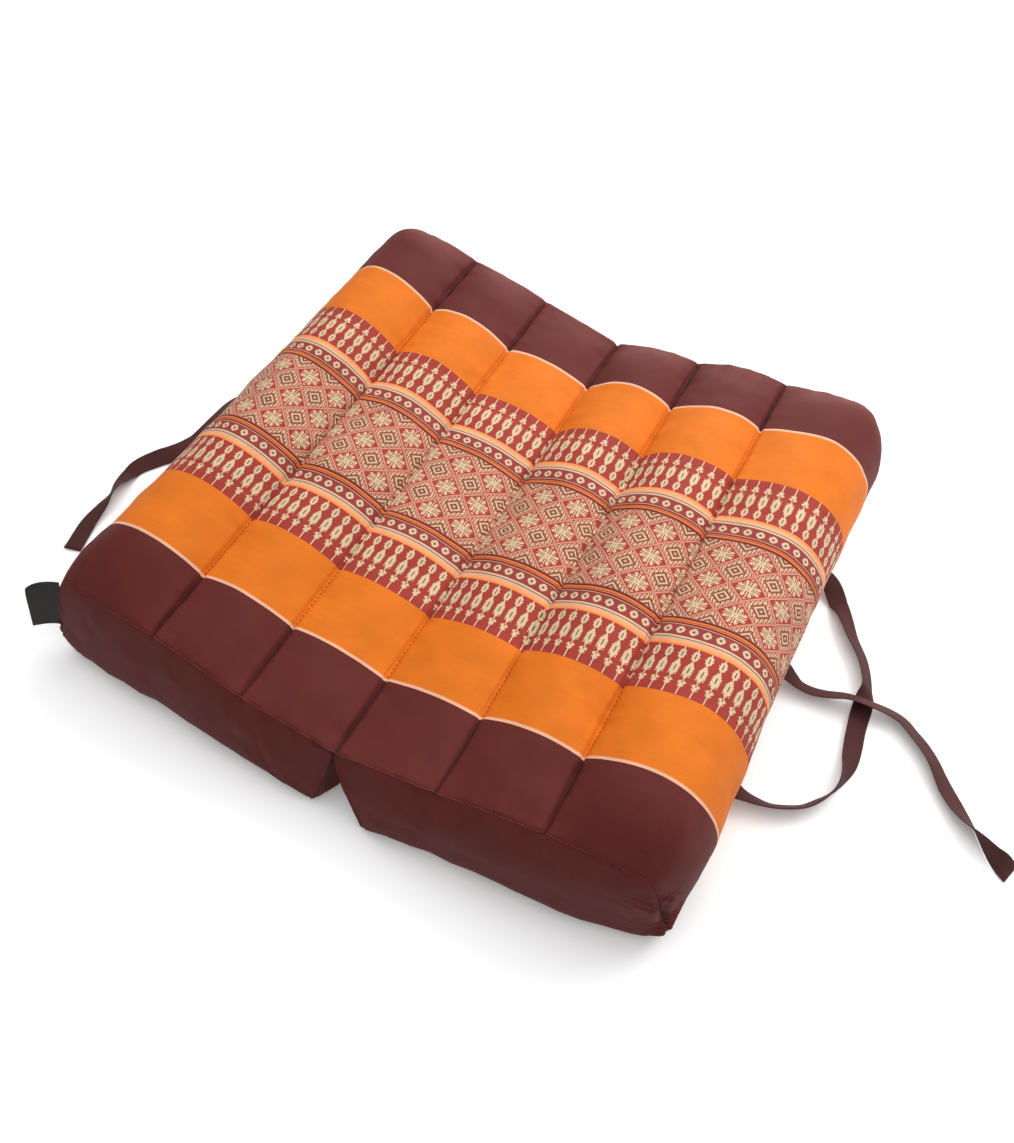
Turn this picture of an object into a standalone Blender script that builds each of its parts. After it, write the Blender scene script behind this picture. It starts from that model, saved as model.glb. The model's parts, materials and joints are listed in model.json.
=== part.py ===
"""Folding seat cushion: two filled blocks of three sewn tubes each, under one woven top panel.

Metres, +Z up. The cushion lies open on its base at z = 0, with its front edge at -Y.
Distances across are counted from the fold, the middle stitch line between the blocks.
"""

import math
from collections import namedtuple

import bmesh
import bpy
from mathutils import Vector

# Place of the fold in the part's frame, which is centred on the blocks and the label
FOLD_X = 0.0107
MIDDLE_Y = -0.0042

# Clearance between neighbouring pieces, and the thickness of the sewn tape and the label
SEAM_GAP = 0.0003
TAPE_THICKNESS = 0.0012
TAPE_WIDTH = 0.0127
LABEL_THICKNESS = 0.0012

# Filled blocks: three tubes side by side, the outer one rounding over into the wall
TUBE_WIDTH = 0.0635
SEAM_HEIGHT = 0.065
WALL_HEIGHT = 0.036
CREST_ACROSS = 0.168
CREST_FULLNESS = 0.8
BASE_EDGE = 0.186
HINGE_THICKNESS = 0.003
INNER_FOOT_RADIUS = 0.004
END_BULGE = 0.0085
FRONT_SWELL_RUN = 0.052
BACK_SWELL_RUN = 0.036
SWELL_POWER = 2.2
BASE_LIFT = 0.003
LIFT_RUN = 0.018
CORNER_EASE = 2.0

# Facets: steps along each side of a cross-section, and cross-sections along a block
TUBE_STEPS = 8
CREST_STEPS = 5
SHOULDER_STEPS = 5
WALL_STEPS = 4
FLOOR_STEPS = 20
FOOT_STEPS = 3
HEEL_STEPS = 2
INNER_STEPS = 5
SECTIONS = 22
TAPE_STEPS_PER_POINT = 3
LABEL_COLUMNS = 5
LABEL_ROWS = 4

# Colours of the cloths
MAROON = (0.105, 0.028, 0.028)
DARK_MAROON = (0.060, 0.018, 0.017)
ORANGE = (0.800, 0.200, 0.030)
WOVEN_RED = (0.480, 0.180, 0.110)
BLACK = (0.012, 0.012, 0.013)
CLOTH_ROUGHNESS = 0.75

# The top panel's woven stripes, measured from the cushion's middle: each ends at this distance
FIELD_EDGE = 0.086
ORANGE_EDGE = 0.135

# Stitch lines from the fold outwards, with the end seams where each line meets them
StitchLine = namedtuple("StitchLine", "across height front_top front_foot back_top back_foot")
RIGHT_LINES = (
    StitchLine(0.0, 0.0454, -0.190, -0.211, 0.188, 0.200),
    StitchLine(TUBE_WIDTH, 0.0548, -0.187, -0.200, 0.188, 0.203),
    StitchLine(2 * TUBE_WIDTH, 0.0650, -0.183, -0.196, 0.186, 0.200),
    StitchLine(0.2040, 0.0620, -0.180, -0.180, 0.190, 0.192),
)
LEFT_LINES = (
    StitchLine(0.0, 0.0454, -0.190, -0.207, 0.188, 0.200),
    StitchLine(TUBE_WIDTH, 0.0544, -0.189, -0.201, 0.196, 0.207),
    StitchLine(2 * TUBE_WIDTH, 0.0650, -0.184, -0.196, 0.202, 0.211),
    StitchLine(0.2080, 0.0620, -0.177, -0.192, 0.207, 0.209),
)

# Crown of each tube from the fold outwards: where it meets each end seam, and at full swell
# near the front, in the middle and near the back
Tube = namedtuple("Tube", "front_seam front middle back back_seam")
RIGHT_TUBES = (
    Tube(0.0011, 0.0020, 0.0103, 0.0150, 0.0045),
    Tube(0.0010, 0.0080, 0.0122, 0.0110, 0.0060),
    Tube(0.0022, 0.0300, 0.0136, 0.0164, 0.0050),
)
LEFT_TUBES = (
    Tube(0.0009, 0.0060, 0.0064, 0.0066, 0.0012),
    Tube(0.0012, 0.0090, 0.0102, 0.0125, 0.0020),
    Tube(0.0030, 0.0208, 0.0212, 0.0245, 0.0085),
)

# Reach of the outer wall at the front and back seams and at full swell near each, how far it
# leans in towards its top at each seam, and how far its middle draws in
Wall = namedtuple("Wall", "front_seam front_full back_full back_seam front_lean back_lean waist")
RIGHT_WALL = Wall(0.2052, 0.2090, 0.2090, 0.1995, 0.0165, 0.0100, 0.0045)
LEFT_WALL = Wall(0.2150, 0.2112, 0.2056, 0.1965, 0.0090, 0.0090, 0.0016)

# Each block: its side of the fold, and how far its foot stands from the fold under the V
Block = namedtuple("Block", "side lines tubes wall foot_across")
BLOCKS = {
    "block_right": Block(1, RIGHT_LINES, RIGHT_TUBES, RIGHT_WALL, 0.0215),
    "block_left": Block(-1, LEFT_LINES, LEFT_TUBES, LEFT_WALL, 0.0090),
}

# Squareness of the shoulder and the toe, at an end seam and at full swell
Shape = namedtuple("Shape", "lean shoulder toe")
SEAM_SHOULDER = 4.2
SEAM_TOE = 3.6
FULL_SHOULDER = 2.0
FULL_TOE = 2.2

# Routes of the tapes: across from the fold, along, height above the floor and roll in degrees
TapePoint = namedtuple("TapePoint", "across along lift roll")
TIE_RIGHT = (
    TapePoint(0.2006, 0.0040, 0.0095, 0),
    TapePoint(0.2040, 0.0038, 0.0075, 6),
    TapePoint(0.2085, 0.0028, 0.0035, 22),
    TapePoint(0.2145, 0.0012, 0.0006, 32),
    TapePoint(0.2230, 0.0010, 0.0000, 33),
    TapePoint(0.2320, 0.0020, 0.0016, 38),
    TapePoint(0.2425, 0.0045, 0.0040, 42),
    TapePoint(0.2505, 0.0055, 0.0046, 42),
    TapePoint(0.2585, 0.0065, 0.0036, 40),
    TapePoint(0.2690, 0.0080, 0.0014, 38),
    TapePoint(0.2785, 0.0070, 0.0002, 36),
    TapePoint(0.2865, 0.0020, 0.0000, 36),
    TapePoint(0.2945, -0.0035, 0.0000, 34),
    TapePoint(0.3020, -0.0105, 0.0000, 34),
    TapePoint(0.3080, -0.0180, 0.0000, 31),
    TapePoint(0.3140, -0.0250, 0.0000, 25),
    TapePoint(0.3210, -0.0320, 0.0000, 27),
    TapePoint(0.3270, -0.0375, 0.0000, 38),
    TapePoint(0.3330, -0.0425, 0.0000, 58),
    TapePoint(0.3395, -0.0475, 0.0000, 84),
    TapePoint(0.3465, -0.0525, 0.0000, 108),
    TapePoint(0.3525, -0.0550, 0.0000, 140),
    TapePoint(0.3590, -0.0572, 0.0000, 172),
)
HANDLE = (
    TapePoint(0.2015, 0.0847, 0.0095, 0),
    TapePoint(0.2046, 0.0844, 0.0080, 0),
    TapePoint(0.2098, 0.0815, 0.0042, -8),
    TapePoint(0.2165, 0.0747, 0.0012, -3),
    TapePoint(0.2240, 0.0655, 0.0000, 24),
    TapePoint(0.2330, 0.0515, 0.0000, 37),
    TapePoint(0.2430, 0.0390, 0.0000, 42),
    TapePoint(0.2490, 0.0280, 0.0000, 46),
    TapePoint(0.2525, 0.0185, 0.0000, 46),
    TapePoint(0.2538, 0.0115, 0.0000, 18),
    TapePoint(0.2543, 0.0040, 0.0000, 9),
    TapePoint(0.2547, -0.0040, 0.0000, 14),
    TapePoint(0.2555, -0.0120, 0.0000, 17),
    TapePoint(0.2570, -0.0225, 0.0000, 17),
    TapePoint(0.2582, -0.0345, 0.0000, 31),
    TapePoint(0.2578, -0.0480, 0.0000, 70),
    TapePoint(0.2553, -0.0585, 0.0000, 95),
    TapePoint(0.2503, -0.0670, 0.0000, 112),
    TapePoint(0.2440, -0.0748, 0.0000, 118),
    TapePoint(0.2360, -0.0800, 0.0000, 122),
    TapePoint(0.2262, -0.0840, 0.0000, 125),
    TapePoint(0.2170, -0.0852, 0.0004, 136),
    TapePoint(0.2100, -0.0862, 0.0035, 148),
    TapePoint(0.2052, -0.0866, 0.0070, 164),
    TapePoint(0.2013, -0.0868, 0.0095, 180),
)
TIE_LEFT = (
    TapePoint(-0.2023, 0.0450, 0.0095, 0),
    TapePoint(-0.2080, 0.0452, 0.0050, 0),
    TapePoint(-0.2190, 0.0480, 0.0010, -4),
    TapePoint(-0.2320, 0.0480, 0.0000, -14),
    TapePoint(-0.2430, 0.0435, 0.0000, -28),
    TapePoint(-0.2488, 0.0330, 0.0000, -32),
    TapePoint(-0.2500, 0.0160, 0.0000, -26),
    TapePoint(-0.2500, -0.0010, 0.0000, -8),
    TapePoint(-0.2515, -0.0190, 0.0000, 15),
    TapePoint(-0.2560, -0.0305, 0.0000, 27),
    TapePoint(-0.2620, -0.0385, 0.0000, 26),
    TapePoint(-0.2712, -0.0530, 0.0000, 8),
    TapePoint(-0.2712, -0.0685, 0.0000, -24),
    TapePoint(-0.2685, -0.0800, 0.0000, -52),
    TapePoint(-0.2680, -0.0920, 0.0000, -26),
    TapePoint(-0.2675, -0.1085, 0.0000, -6),
    TapePoint(-0.2622, -0.1310, 0.0000, 2),
)

# The label, folded double, stands out of the left front corner seam: its four corners
LabelCorner = namedtuple("LabelCorner", "across along height")
LABEL_SEWN_TOP = LabelCorner(-0.2076, -0.1794, 0.0580)
LABEL_SEWN_FOOT = LabelCorner(-0.2117, -0.1879, 0.0210)
LABEL_FREE_TOP = LabelCorner(-0.2250, -0.1890, 0.0560)
LABEL_FREE_FOOT = LabelCorner(-0.2285, -0.1960, 0.0185)
LABEL_CURL = 0.0016


def lerp(a, b, share):
    return a + (b - a) * share


def clear_scene():
    for thing in list(bpy.data.objects):
        bpy.data.objects.remove(thing, do_unlink=True)


def cloth(name, colour):
    material = bpy.data.materials.new(name)
    material.use_nodes = True
    shader = material.node_tree.nodes["Principled BSDF"]
    shader.inputs["Base Color"].default_value = (*colour, 1.0)
    shader.inputs["Roughness"].default_value = CLOTH_ROUGHNESS
    shader.inputs["Metallic"].default_value = 0.0
    return material


def between_lines(lines, across, column):
    """Value of one column of the stitch lines at a distance across from the fold.

    Past the last stitch line the end seam curves round to the corner.
    """
    for near, far in zip(lines, lines[1:]):
        if across <= far.across:
            share = max(0.0, (across - near.across) / (far.across - near.across))
            eased = share ** CORNER_EASE if far is lines[-1] else share
            return lerp(getattr(near, column), getattr(far, column), eased)
    return getattr(lines[-1], column)


def superellipse(share, squareness):
    """Unit quarter arc: runs from (0, 1) to (1, 0) as share goes from 0 to 1."""
    angle = share * math.pi / 2
    power = 2 / squareness
    return math.sin(angle) ** power, max(0.0, math.cos(angle)) ** power


def arch(share):
    return 4 * share * (1 - share)


def wall_reach(wall, share, swell):
    """How far across the outer wall stands at its widest, at a share of the block's length."""
    seam = wall.front_seam if share < 0.5 else wall.back_seam
    full = lerp(wall.front_full, wall.back_full, share) - wall.waist * arch(share)
    return lerp(seam, full, swell)


def tube_crown(tube, share, swell):
    seam = tube.front_seam if share < 0.5 else tube.back_seam
    bow = tube.middle - (tube.front + tube.back) / 2
    full = lerp(tube.front, tube.back, share) + bow * arch(share)
    return lerp(seam, full, swell)


def cross_shape(wall, share, swell):
    lean = wall.front_lean if share < 0.5 else wall.back_lean
    shoulder = lerp(SEAM_SHOULDER, FULL_SHOULDER, swell)
    return Shape(lean * (1 - swell), shoulder, lerp(SEAM_TOE, FULL_TOE, swell))


def shoulder_point(crown, shape, wall, share):
    out, up = superellipse(share, shape.shoulder)
    top = SEAM_HEIGHT + crown
    height = WALL_HEIGHT + (top - WALL_HEIGHT) * up
    leaning = wall - shape.lean * height / SEAM_HEIGHT
    return CREST_ACROSS + (leaning - CREST_ACROSS) * out, height


def toe_point(shape, wall, share):
    down, out = superellipse(share, shape.toe)
    height = WALL_HEIGHT * (1 - down)
    leaning = wall - shape.lean * height / SEAM_HEIGHT
    return BASE_EDGE + (leaning - BASE_EDGE) * out, height


def foot_point(block, share):
    back, up = superellipse(share, 2.0)
    across = block.foot_across + INNER_FOOT_RADIUS * (1 - back)
    return across, INNER_FOOT_RADIUS * (1 - up)


def top_run(block, crowns, shape, wall):
    """Over the tubes, from the fold to the middle of the outer shoulder."""
    run = []
    for near, far, crown in zip(block.lines, block.lines[1:], crowns[:2]):
        for step in range(TUBE_STEPS):
            share = step / TUBE_STEPS
            height = lerp(near.height, far.height, share) + crown * arch(share)
            run.append((max(SEAM_GAP / 2, lerp(near.across, far.across, share)), height))
    last = block.lines[2]
    for step in range(CREST_STEPS):
        share = step / CREST_STEPS
        rise = math.sin(share * math.pi / 2) ** CREST_FULLNESS
        run.append((lerp(last.across, CREST_ACROSS, share), last.height + crowns[2] * rise))
    for step in range(SHOULDER_STEPS):
        run.append(shoulder_point(crowns[2], shape, wall, 0.5 * step / SHOULDER_STEPS))
    return run


def wall_run(crown, shape, wall):
    """Down the outer wall, from the middle of the shoulder to the middle of the toe."""
    halves = [0.5 * step / WALL_STEPS for step in range(WALL_STEPS)]
    upper = [shoulder_point(crown, shape, wall, 0.5 + half) for half in halves]
    lower = [toe_point(shape, wall, half) for half in halves]
    return upper + lower


def base_run(block, shape, wall):
    """Under the toe, along the floor to the inner foot."""
    halves = [0.5 * step / FOOT_STEPS for step in range(FOOT_STEPS)]
    toe = [toe_point(shape, wall, 0.5 + half) for half in halves]
    inner_edge = block.foot_across + INNER_FOOT_RADIUS
    floor = [(lerp(BASE_EDGE, inner_edge, s / FLOOR_STEPS), 0.0) for s in range(FLOOR_STEPS)]
    foot = [foot_point(block, half) for half in halves]
    return toe + floor + foot


def inner_run(block):
    """Up the inner wall of the V to the hinge under the fold."""
    heel = [foot_point(block, 0.5 + 0.5 * step / HEEL_STEPS) for step in range(HEEL_STEPS)]
    apex = block.lines[0].height - HINGE_THICKNESS
    wall = []
    for step in range(INNER_STEPS + 1):
        share = step / INNER_STEPS
        across = SEAM_GAP / 2 + (block.foot_across - SEAM_GAP / 2) * (1 - share) ** 1.2
        wall.append((across, lerp(INNER_FOOT_RADIUS, apex, share)))
    return heel + wall


def outline(block, share, swell, lift):
    """Cross-section as its four runs of (across, height), counted round from the fold."""
    shape = cross_shape(block.wall, share, swell)
    wall = wall_reach(block.wall, share, swell)
    crowns = [tube_crown(tube, share, swell) for tube in block.tubes]
    runs = [top_run(block, crowns, shape, wall), wall_run(crowns[2], shape, wall)]
    runs += [base_run(block, shape, wall), inner_run(block)]
    return [[(x, z + lift * max(0.0, 1 - z / SEAM_HEIGHT)) for x, z in run] for run in runs]


def end_reach(block, across, height, end):
    """Distance along of the end seam, from its top edge to its foot."""
    top = between_lines(block.lines, across, end + "_top")
    foot = between_lines(block.lines, across, end + "_foot")
    crown_height = between_lines(block.lines, across, "height")
    return lerp(foot, top, min(1.0, height / crown_height))


def section_loop(block, seam_points, share):
    """One closed loop of points across the block, at a share of its length from the front."""
    length = block.lines[0].back_top - block.lines[0].front_top
    from_end = length * min(share, 1 - share)
    swell_run = FRONT_SWELL_RUN if share < 0.5 else BACK_SWELL_RUN
    swell = 1 - (1 - min(1.0, from_end / swell_run)) ** SWELL_POWER
    lift = BASE_LIFT * max(0.0, 1 - from_end / LIFT_RUN) ** 2
    points = [point for run in outline(block, share, swell, lift) for point in run]
    loop = []
    for (across, height), (seam_across, seam_height) in zip(points, seam_points):
        front = end_reach(block, seam_across, seam_height, "front")
        back = end_reach(block, seam_across, seam_height, "back")
        loop.append(Vector((block.side * across, lerp(front, back, share), height)))
    return loop


def add_strip(bm, first, second, flip):
    """Quads between two loops of vertices."""
    count = len(first)
    for index in range(count):
        after = (index + 1) % count
        corners = [first[index], first[after], second[after], second[index]]
        bm.faces.new(corners[::-1] if flip else corners)


def end_panel_point(rim, counts, p, q, outward):
    """Coons patch inside the end seam: p runs out from the fold, q down from the top edge."""
    top, wall, base = counts
    u = p / top
    v = q / wall
    far = top + wall + base
    upper, lower = rim[p], rim[far - p]
    outer, inner = rim[top + q], rim[(len(rim) - q) % len(rim)]
    flat = upper * (1 - v) + lower * v + inner * (1 - u) + outer * u
    flat -= rim[0] * (1 - u) * (1 - v) + rim[top] * u * (1 - v)
    flat -= rim[far] * (1 - u) * v + rim[top + wall] * u * v
    bulge = END_BULGE * math.sin(math.pi * u) ** 0.6 * math.sin(math.pi * v ** 1.2) ** 0.75
    return flat + Vector((0, outward * bulge, 0))


def add_end_panel(bm, rim_verts, counts, outward, flip):
    """Bulging panel that closes one end, as a grid between the four runs of its seam."""
    top, wall, base = counts
    rim = [vert.co.copy() for vert in rim_verts]
    grid = {}
    for p in range(top + 1):
        grid[p, 0] = rim_verts[p]
        grid[p, wall] = rim_verts[top + wall + base - p]
    for q in range(1, wall):
        grid[0, q] = rim_verts[len(rim_verts) - q]
        grid[top, q] = rim_verts[top + q]
        for p in range(1, top):
            grid[p, q] = bm.verts.new(end_panel_point(rim, counts, p, q, outward))
    for p in range(top):
        for q in range(wall):
            corners = [grid[p, q], grid[p, q + 1], grid[p + 1, q + 1], grid[p + 1, q]]
            bm.faces.new(corners[::-1] if flip else corners)


def stripe_of(face):
    """Material slot of a face: the stripes cross the top panel and run down the outer walls."""
    middle = face.calc_center_median()
    faces_end = abs(face.normal.y) > 0.7
    faces_down = face.normal.z < -0.5
    faces_fold = middle.x * face.normal.x < 0 and face.normal.z < 0.2
    if faces_end or faces_down or faces_fold or abs(middle.y) > ORANGE_EDGE:
        return 0
    return 1 if abs(middle.y) > FIELD_EDGE else 2


def make_block(name, block, materials):
    """Filled half of the cushion: cross-sections lofted from the front seam to the back seam."""
    seam_runs = outline(block, 0.0, 0.0, BASE_LIFT)
    seam_points = [point for run in seam_runs for point in run]
    counts = [len(run) for run in seam_runs[:3]]
    flip = block.side < 0
    bm = bmesh.new()
    loops = []
    for index in range(SECTIONS + 1):
        share = 0.5 * (1 - math.cos(math.pi * index / SECTIONS))
        loops.append([bm.verts.new(point) for point in section_loop(block, seam_points, share)])
    for first, second in zip(loops, loops[1:]):
        add_strip(bm, first, second, flip)
    add_end_panel(bm, loops[0], counts, -1, flip)
    add_end_panel(bm, loops[-1], counts, 1, not flip)
    bm.normal_update()
    for face in bm.faces:
        face.smooth = True
        face.material_index = stripe_of(face)
    return finish_object(name, bm, materials)


def finish_object(name, bm, materials):
    mesh = bpy.data.meshes.new(name)
    bm.to_mesh(mesh)
    bm.free()
    for material in materials:
        mesh.materials.append(material)
    piece = bpy.data.objects.new(name, mesh)
    piece.location = (FOLD_X, MIDDLE_Y, 0.0)
    bpy.context.scene.collection.objects.link(piece)
    return piece


def add_thickness(piece, thickness):
    solidify = piece.modifiers.new("thickness", "SOLIDIFY")
    solidify.thickness = thickness
    solidify.offset = 0.0


def catmull_rom(before, start, end, after, t):
    return 0.5 * (
        start * 2
        + (end - before) * t
        + (before * 2 - start * 5 + end * 4 - after) * t ** 2
        + (start * 3 - before - end * 3 + after) * t ** 3
    )


def smooth_route(points):
    """Catmull-Rom curve through a tape's own points; the fourth coordinate is its roll."""
    rows = [Vector((p.across, p.along, p.lift, math.radians(p.roll))) for p in points]
    rows = [rows[0] * 2 - rows[1]] + rows + [rows[-1] * 2 - rows[-2]]
    route = []
    for index in range(1, len(rows) - 2):
        for step in range(TAPE_STEPS_PER_POINT):
            route.append(catmull_rom(*rows[index - 1:index + 3], step / TAPE_STEPS_PER_POINT))
    route.append(rows[-2])
    return route


def tape_row(row, behind, ahead):
    """Three points across the tape where it rests: its two edges and its middle."""
    up = Vector((0, 0, 1))
    heading = Vector((ahead.x - behind.x, ahead.y - behind.y, 0)).normalized()
    width = heading.cross(up) * math.cos(row.w) + up * math.sin(row.w)
    half = width * TAPE_WIDTH / 2
    resting = abs(half.z) + abs(math.cos(row.w)) * TAPE_THICKNESS / 2 + SEAM_GAP
    centre = Vector((row.x, row.y, row.z + resting))
    return centre - half, centre, centre + half


def make_tape(name, points, material):
    """Flat sewn tape that lies on the floor and turns about its own length."""
    route = smooth_route(points)
    bm = bmesh.new()
    rows = []
    for index, row in enumerate(route):
        ahead = route[min(index + 1, len(route) - 1)]
        behind = route[max(index - 1, 0)]
        rows.append([bm.verts.new(point) for point in tape_row(row, behind, ahead)])
    for first, second in zip(rows, rows[1:]):
        for index in range(2):
            bm.faces.new([first[index], first[index + 1], second[index + 1], second[index]])
    for face in bm.faces:
        face.smooth = True
    piece = finish_object(name, bm, [material])
    add_thickness(piece, TAPE_THICKNESS)
    return piece


def make_label(material):
    """Bare folded label: a small upright sheet that leans out of the corner seam."""
    sewn_top, sewn_foot = Vector(LABEL_SEWN_TOP), Vector(LABEL_SEWN_FOOT)
    free_top, free_foot = Vector(LABEL_FREE_TOP), Vector(LABEL_FREE_FOOT)
    bm = bmesh.new()
    columns = []
    for index in range(LABEL_COLUMNS + 1):
        out = index / LABEL_COLUMNS
        top = sewn_top.lerp(free_top, out)
        foot = sewn_foot.lerp(free_foot, out)
        curl = Vector((0, LABEL_CURL * math.sin(math.pi * out), 0))
        rows = [foot.lerp(top, row / LABEL_ROWS) + curl for row in range(LABEL_ROWS + 1)]
        columns.append([bm.verts.new(point) for point in rows])
    for first, second in zip(columns, columns[1:]):
        for row in range(LABEL_ROWS):
            bm.faces.new([first[row], first[row + 1], second[row + 1], second[row]])
    piece = finish_object("label", bm, [material])
    add_thickness(piece, LABEL_THICKNESS)
    return piece


def main():
    clear_scene()
    stripes = [cloth("maroon_cotton", MAROON), cloth("orange_stripe", ORANGE)]
    stripes.append(cloth("woven_field", WOVEN_RED))
    for name, block in BLOCKS.items():
        make_block(name, block, stripes)
    tape = cloth("maroon_tape", DARK_MAROON)
    make_tape("tie_right", TIE_RIGHT, tape)
    make_tape("handle", HANDLE, tape)
    make_tape("tie_left", TIE_LEFT, tape)
    make_label(cloth("black_satin", BLACK))


main()
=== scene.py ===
"""Folding meditation cushion in full looks, over the CAD part's frame.

Metres, +Z up; only the tapes' routes are in millimetres. Distances across are counted from the
fold and distances along from the middle.
"""

import json
import math
from collections import namedtuple

import bmesh
import bpy
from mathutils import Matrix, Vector, noise

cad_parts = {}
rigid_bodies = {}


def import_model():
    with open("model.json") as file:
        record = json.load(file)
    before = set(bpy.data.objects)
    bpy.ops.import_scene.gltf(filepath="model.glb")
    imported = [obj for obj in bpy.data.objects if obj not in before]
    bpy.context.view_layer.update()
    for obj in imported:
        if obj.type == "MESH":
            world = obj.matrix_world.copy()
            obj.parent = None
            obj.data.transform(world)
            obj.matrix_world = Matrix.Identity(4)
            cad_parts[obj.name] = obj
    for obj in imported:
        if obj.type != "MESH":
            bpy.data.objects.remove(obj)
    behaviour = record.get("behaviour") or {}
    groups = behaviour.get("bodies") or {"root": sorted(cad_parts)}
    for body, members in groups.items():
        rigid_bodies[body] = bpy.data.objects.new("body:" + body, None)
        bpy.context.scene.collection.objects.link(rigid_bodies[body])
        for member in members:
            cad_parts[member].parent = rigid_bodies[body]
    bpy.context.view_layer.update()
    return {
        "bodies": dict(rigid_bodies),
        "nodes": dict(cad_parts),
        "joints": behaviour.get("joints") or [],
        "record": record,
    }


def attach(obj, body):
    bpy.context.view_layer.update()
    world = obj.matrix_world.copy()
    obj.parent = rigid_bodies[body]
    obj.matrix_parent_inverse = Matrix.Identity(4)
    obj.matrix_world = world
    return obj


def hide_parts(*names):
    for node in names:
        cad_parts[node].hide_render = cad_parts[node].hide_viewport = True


# Place of the fold in the row frame
FOLD_PLACE = Vector((0.0107, -0.0042, 0.0))

# Camera, solved from the stitch lines and the stripes
CAMERA_PLACE = (0.217223, -0.375071, 0.576998)
CAMERA_TURN = 0.492152517
CAMERA_RISE = 0.947353332
CAMERA_LENS = 32.92
SENSOR_WIDTH = 36.0

# Filled body: three tubes on each side of the fold, the outer one rounding into the wall
TUBE_WIDTH = 0.0635
SEAM_HEIGHT = 0.065
WALL_HEIGHT = 0.036
CREST_ACROSS = 0.168
CREST_FULLNESS = 0.8
CREST_CROWDING = 1.4
BASE_EDGE = 0.186
HINGE_THICKNESS = 0.003
INNER_FOOT_RADIUS = 0.004
INNER_WALL_BOW = 1.2
FOOT_RUN = 0.014
END_BULGE = 0.0085
BULGE_DROP = 1.2
BULGE_FULLNESS = 0.75
PANEL_INNER_POWER = 1.4
PANEL_OUTER_POWER = 0.6
FRONT_SWELL_RUN = 0.052
BACK_SWELL_RUN = 0.036
SWELL_POWER = 2.2
BASE_LIFT = 0.003
LIFT_RUN = 0.018
CORNER_EASE = 2.0
SEAM_SHOULDER = 4.2
SEAM_TOE = 3.6
FULL_SHOULDER = 2.0
FULL_TOE = 2.2
ROUND = 2.0
Shape = namedtuple("Shape", "lean shoulder toe")

# Mesh steps along each run of a cross-section, and spacing of the cross-sections
TUBE_STEPS = 30
STITCH_CROWDING = 0.7
CREST_STEPS = 20
SHOULDER_STEPS = 18
WALL_STEPS = 22
FOOT_STEPS = 6
FLOOR_STEPS = 12
HEEL_STEPS = 4
INNER_STEPS = 2 * WALL_STEPS - HEEL_STEPS - 1
FIRST_SPACING = 0.0004
SPACING_GROWTH = 1.28
FULL_SPACING = 0.0023
BARE_SECTIONS = 3

# Stitch lines from the fold outwards, with the end seams where each line meets them
StitchLine = namedtuple("StitchLine", "across height front_top front_foot back_top back_foot")
RIGHT_LINES = (
    StitchLine(0.0, 0.0454, -0.190, -0.211, 0.188, 0.200),
    StitchLine(TUBE_WIDTH, 0.0548, -0.187, -0.200, 0.188, 0.203),
    StitchLine(2 * TUBE_WIDTH, 0.0650, -0.183, -0.196, 0.186, 0.200),
    StitchLine(0.2040, 0.0620, -0.180, -0.180, 0.190, 0.192),
)
LEFT_LINES = (
    StitchLine(0.0, 0.0454, -0.190, -0.207, 0.188, 0.200),
    StitchLine(TUBE_WIDTH, 0.0544, -0.189, -0.201, 0.196, 0.207),
    StitchLine(2 * TUBE_WIDTH, 0.0650, -0.184, -0.196, 0.202, 0.211),
    StitchLine(0.2080, 0.0620, -0.177, -0.192, 0.207, 0.209),
)

# Crown of each tube: where it meets each end seam, and at full swell from front to back
Tube = namedtuple("Tube", "front_seam front middle back back_seam")
RIGHT_TUBES = (
    Tube(0.0011, 0.0020, 0.0103, 0.0150, 0.0045),
    Tube(0.0010, 0.0080, 0.0122, 0.0110, 0.0060),
    Tube(0.0022, 0.0300, 0.0136, 0.0164, 0.0050),
)
LEFT_TUBES = (
    Tube(0.0009, 0.0060, 0.0064, 0.0066, 0.0012),
    Tube(0.0012, 0.0090, 0.0102, 0.0125, 0.0020),
    Tube(0.0030, 0.0208, 0.0212, 0.0245, 0.0085),
)
Wall = namedtuple("Wall", "front_seam front_full back_full back_seam front_lean back_lean waist")
RIGHT_WALL = Wall(0.2052, 0.2090, 0.2090, 0.1995, 0.0165, 0.0100, 0.0045)
LEFT_WALL = Wall(0.2150, 0.2112, 0.2056, 0.1965, 0.0090, 0.0090, 0.0016)

# Where a lattice flower lies beyond each inner stitch line, and the woven cloth's stretch there
RIGHT_CLOTH = ((0.0026, 1.0), (0.0232, 1.0), (0.0184, 1.0))
LEFT_CLOTH = ((0.0150, 1.0), (0.0150, 1.0), (0.0112, 1.08))

Half = namedtuple("Half", "side lines tubes wall foot_across inner_foot cloth")
RIGHT = Half(1, RIGHT_LINES, RIGHT_TUBES, RIGHT_WALL, 0.0205, 0.0185, RIGHT_CLOTH)
LEFT = Half(-1, LEFT_LINES, LEFT_TUBES, LEFT_WALL, 0.0090, 0.0025, LEFT_CLOTH)
HALVES = (RIGHT, LEFT)
PAD_LENGTH = RIGHT_LINES[0].back_top - RIGHT_LINES[0].front_top

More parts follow.
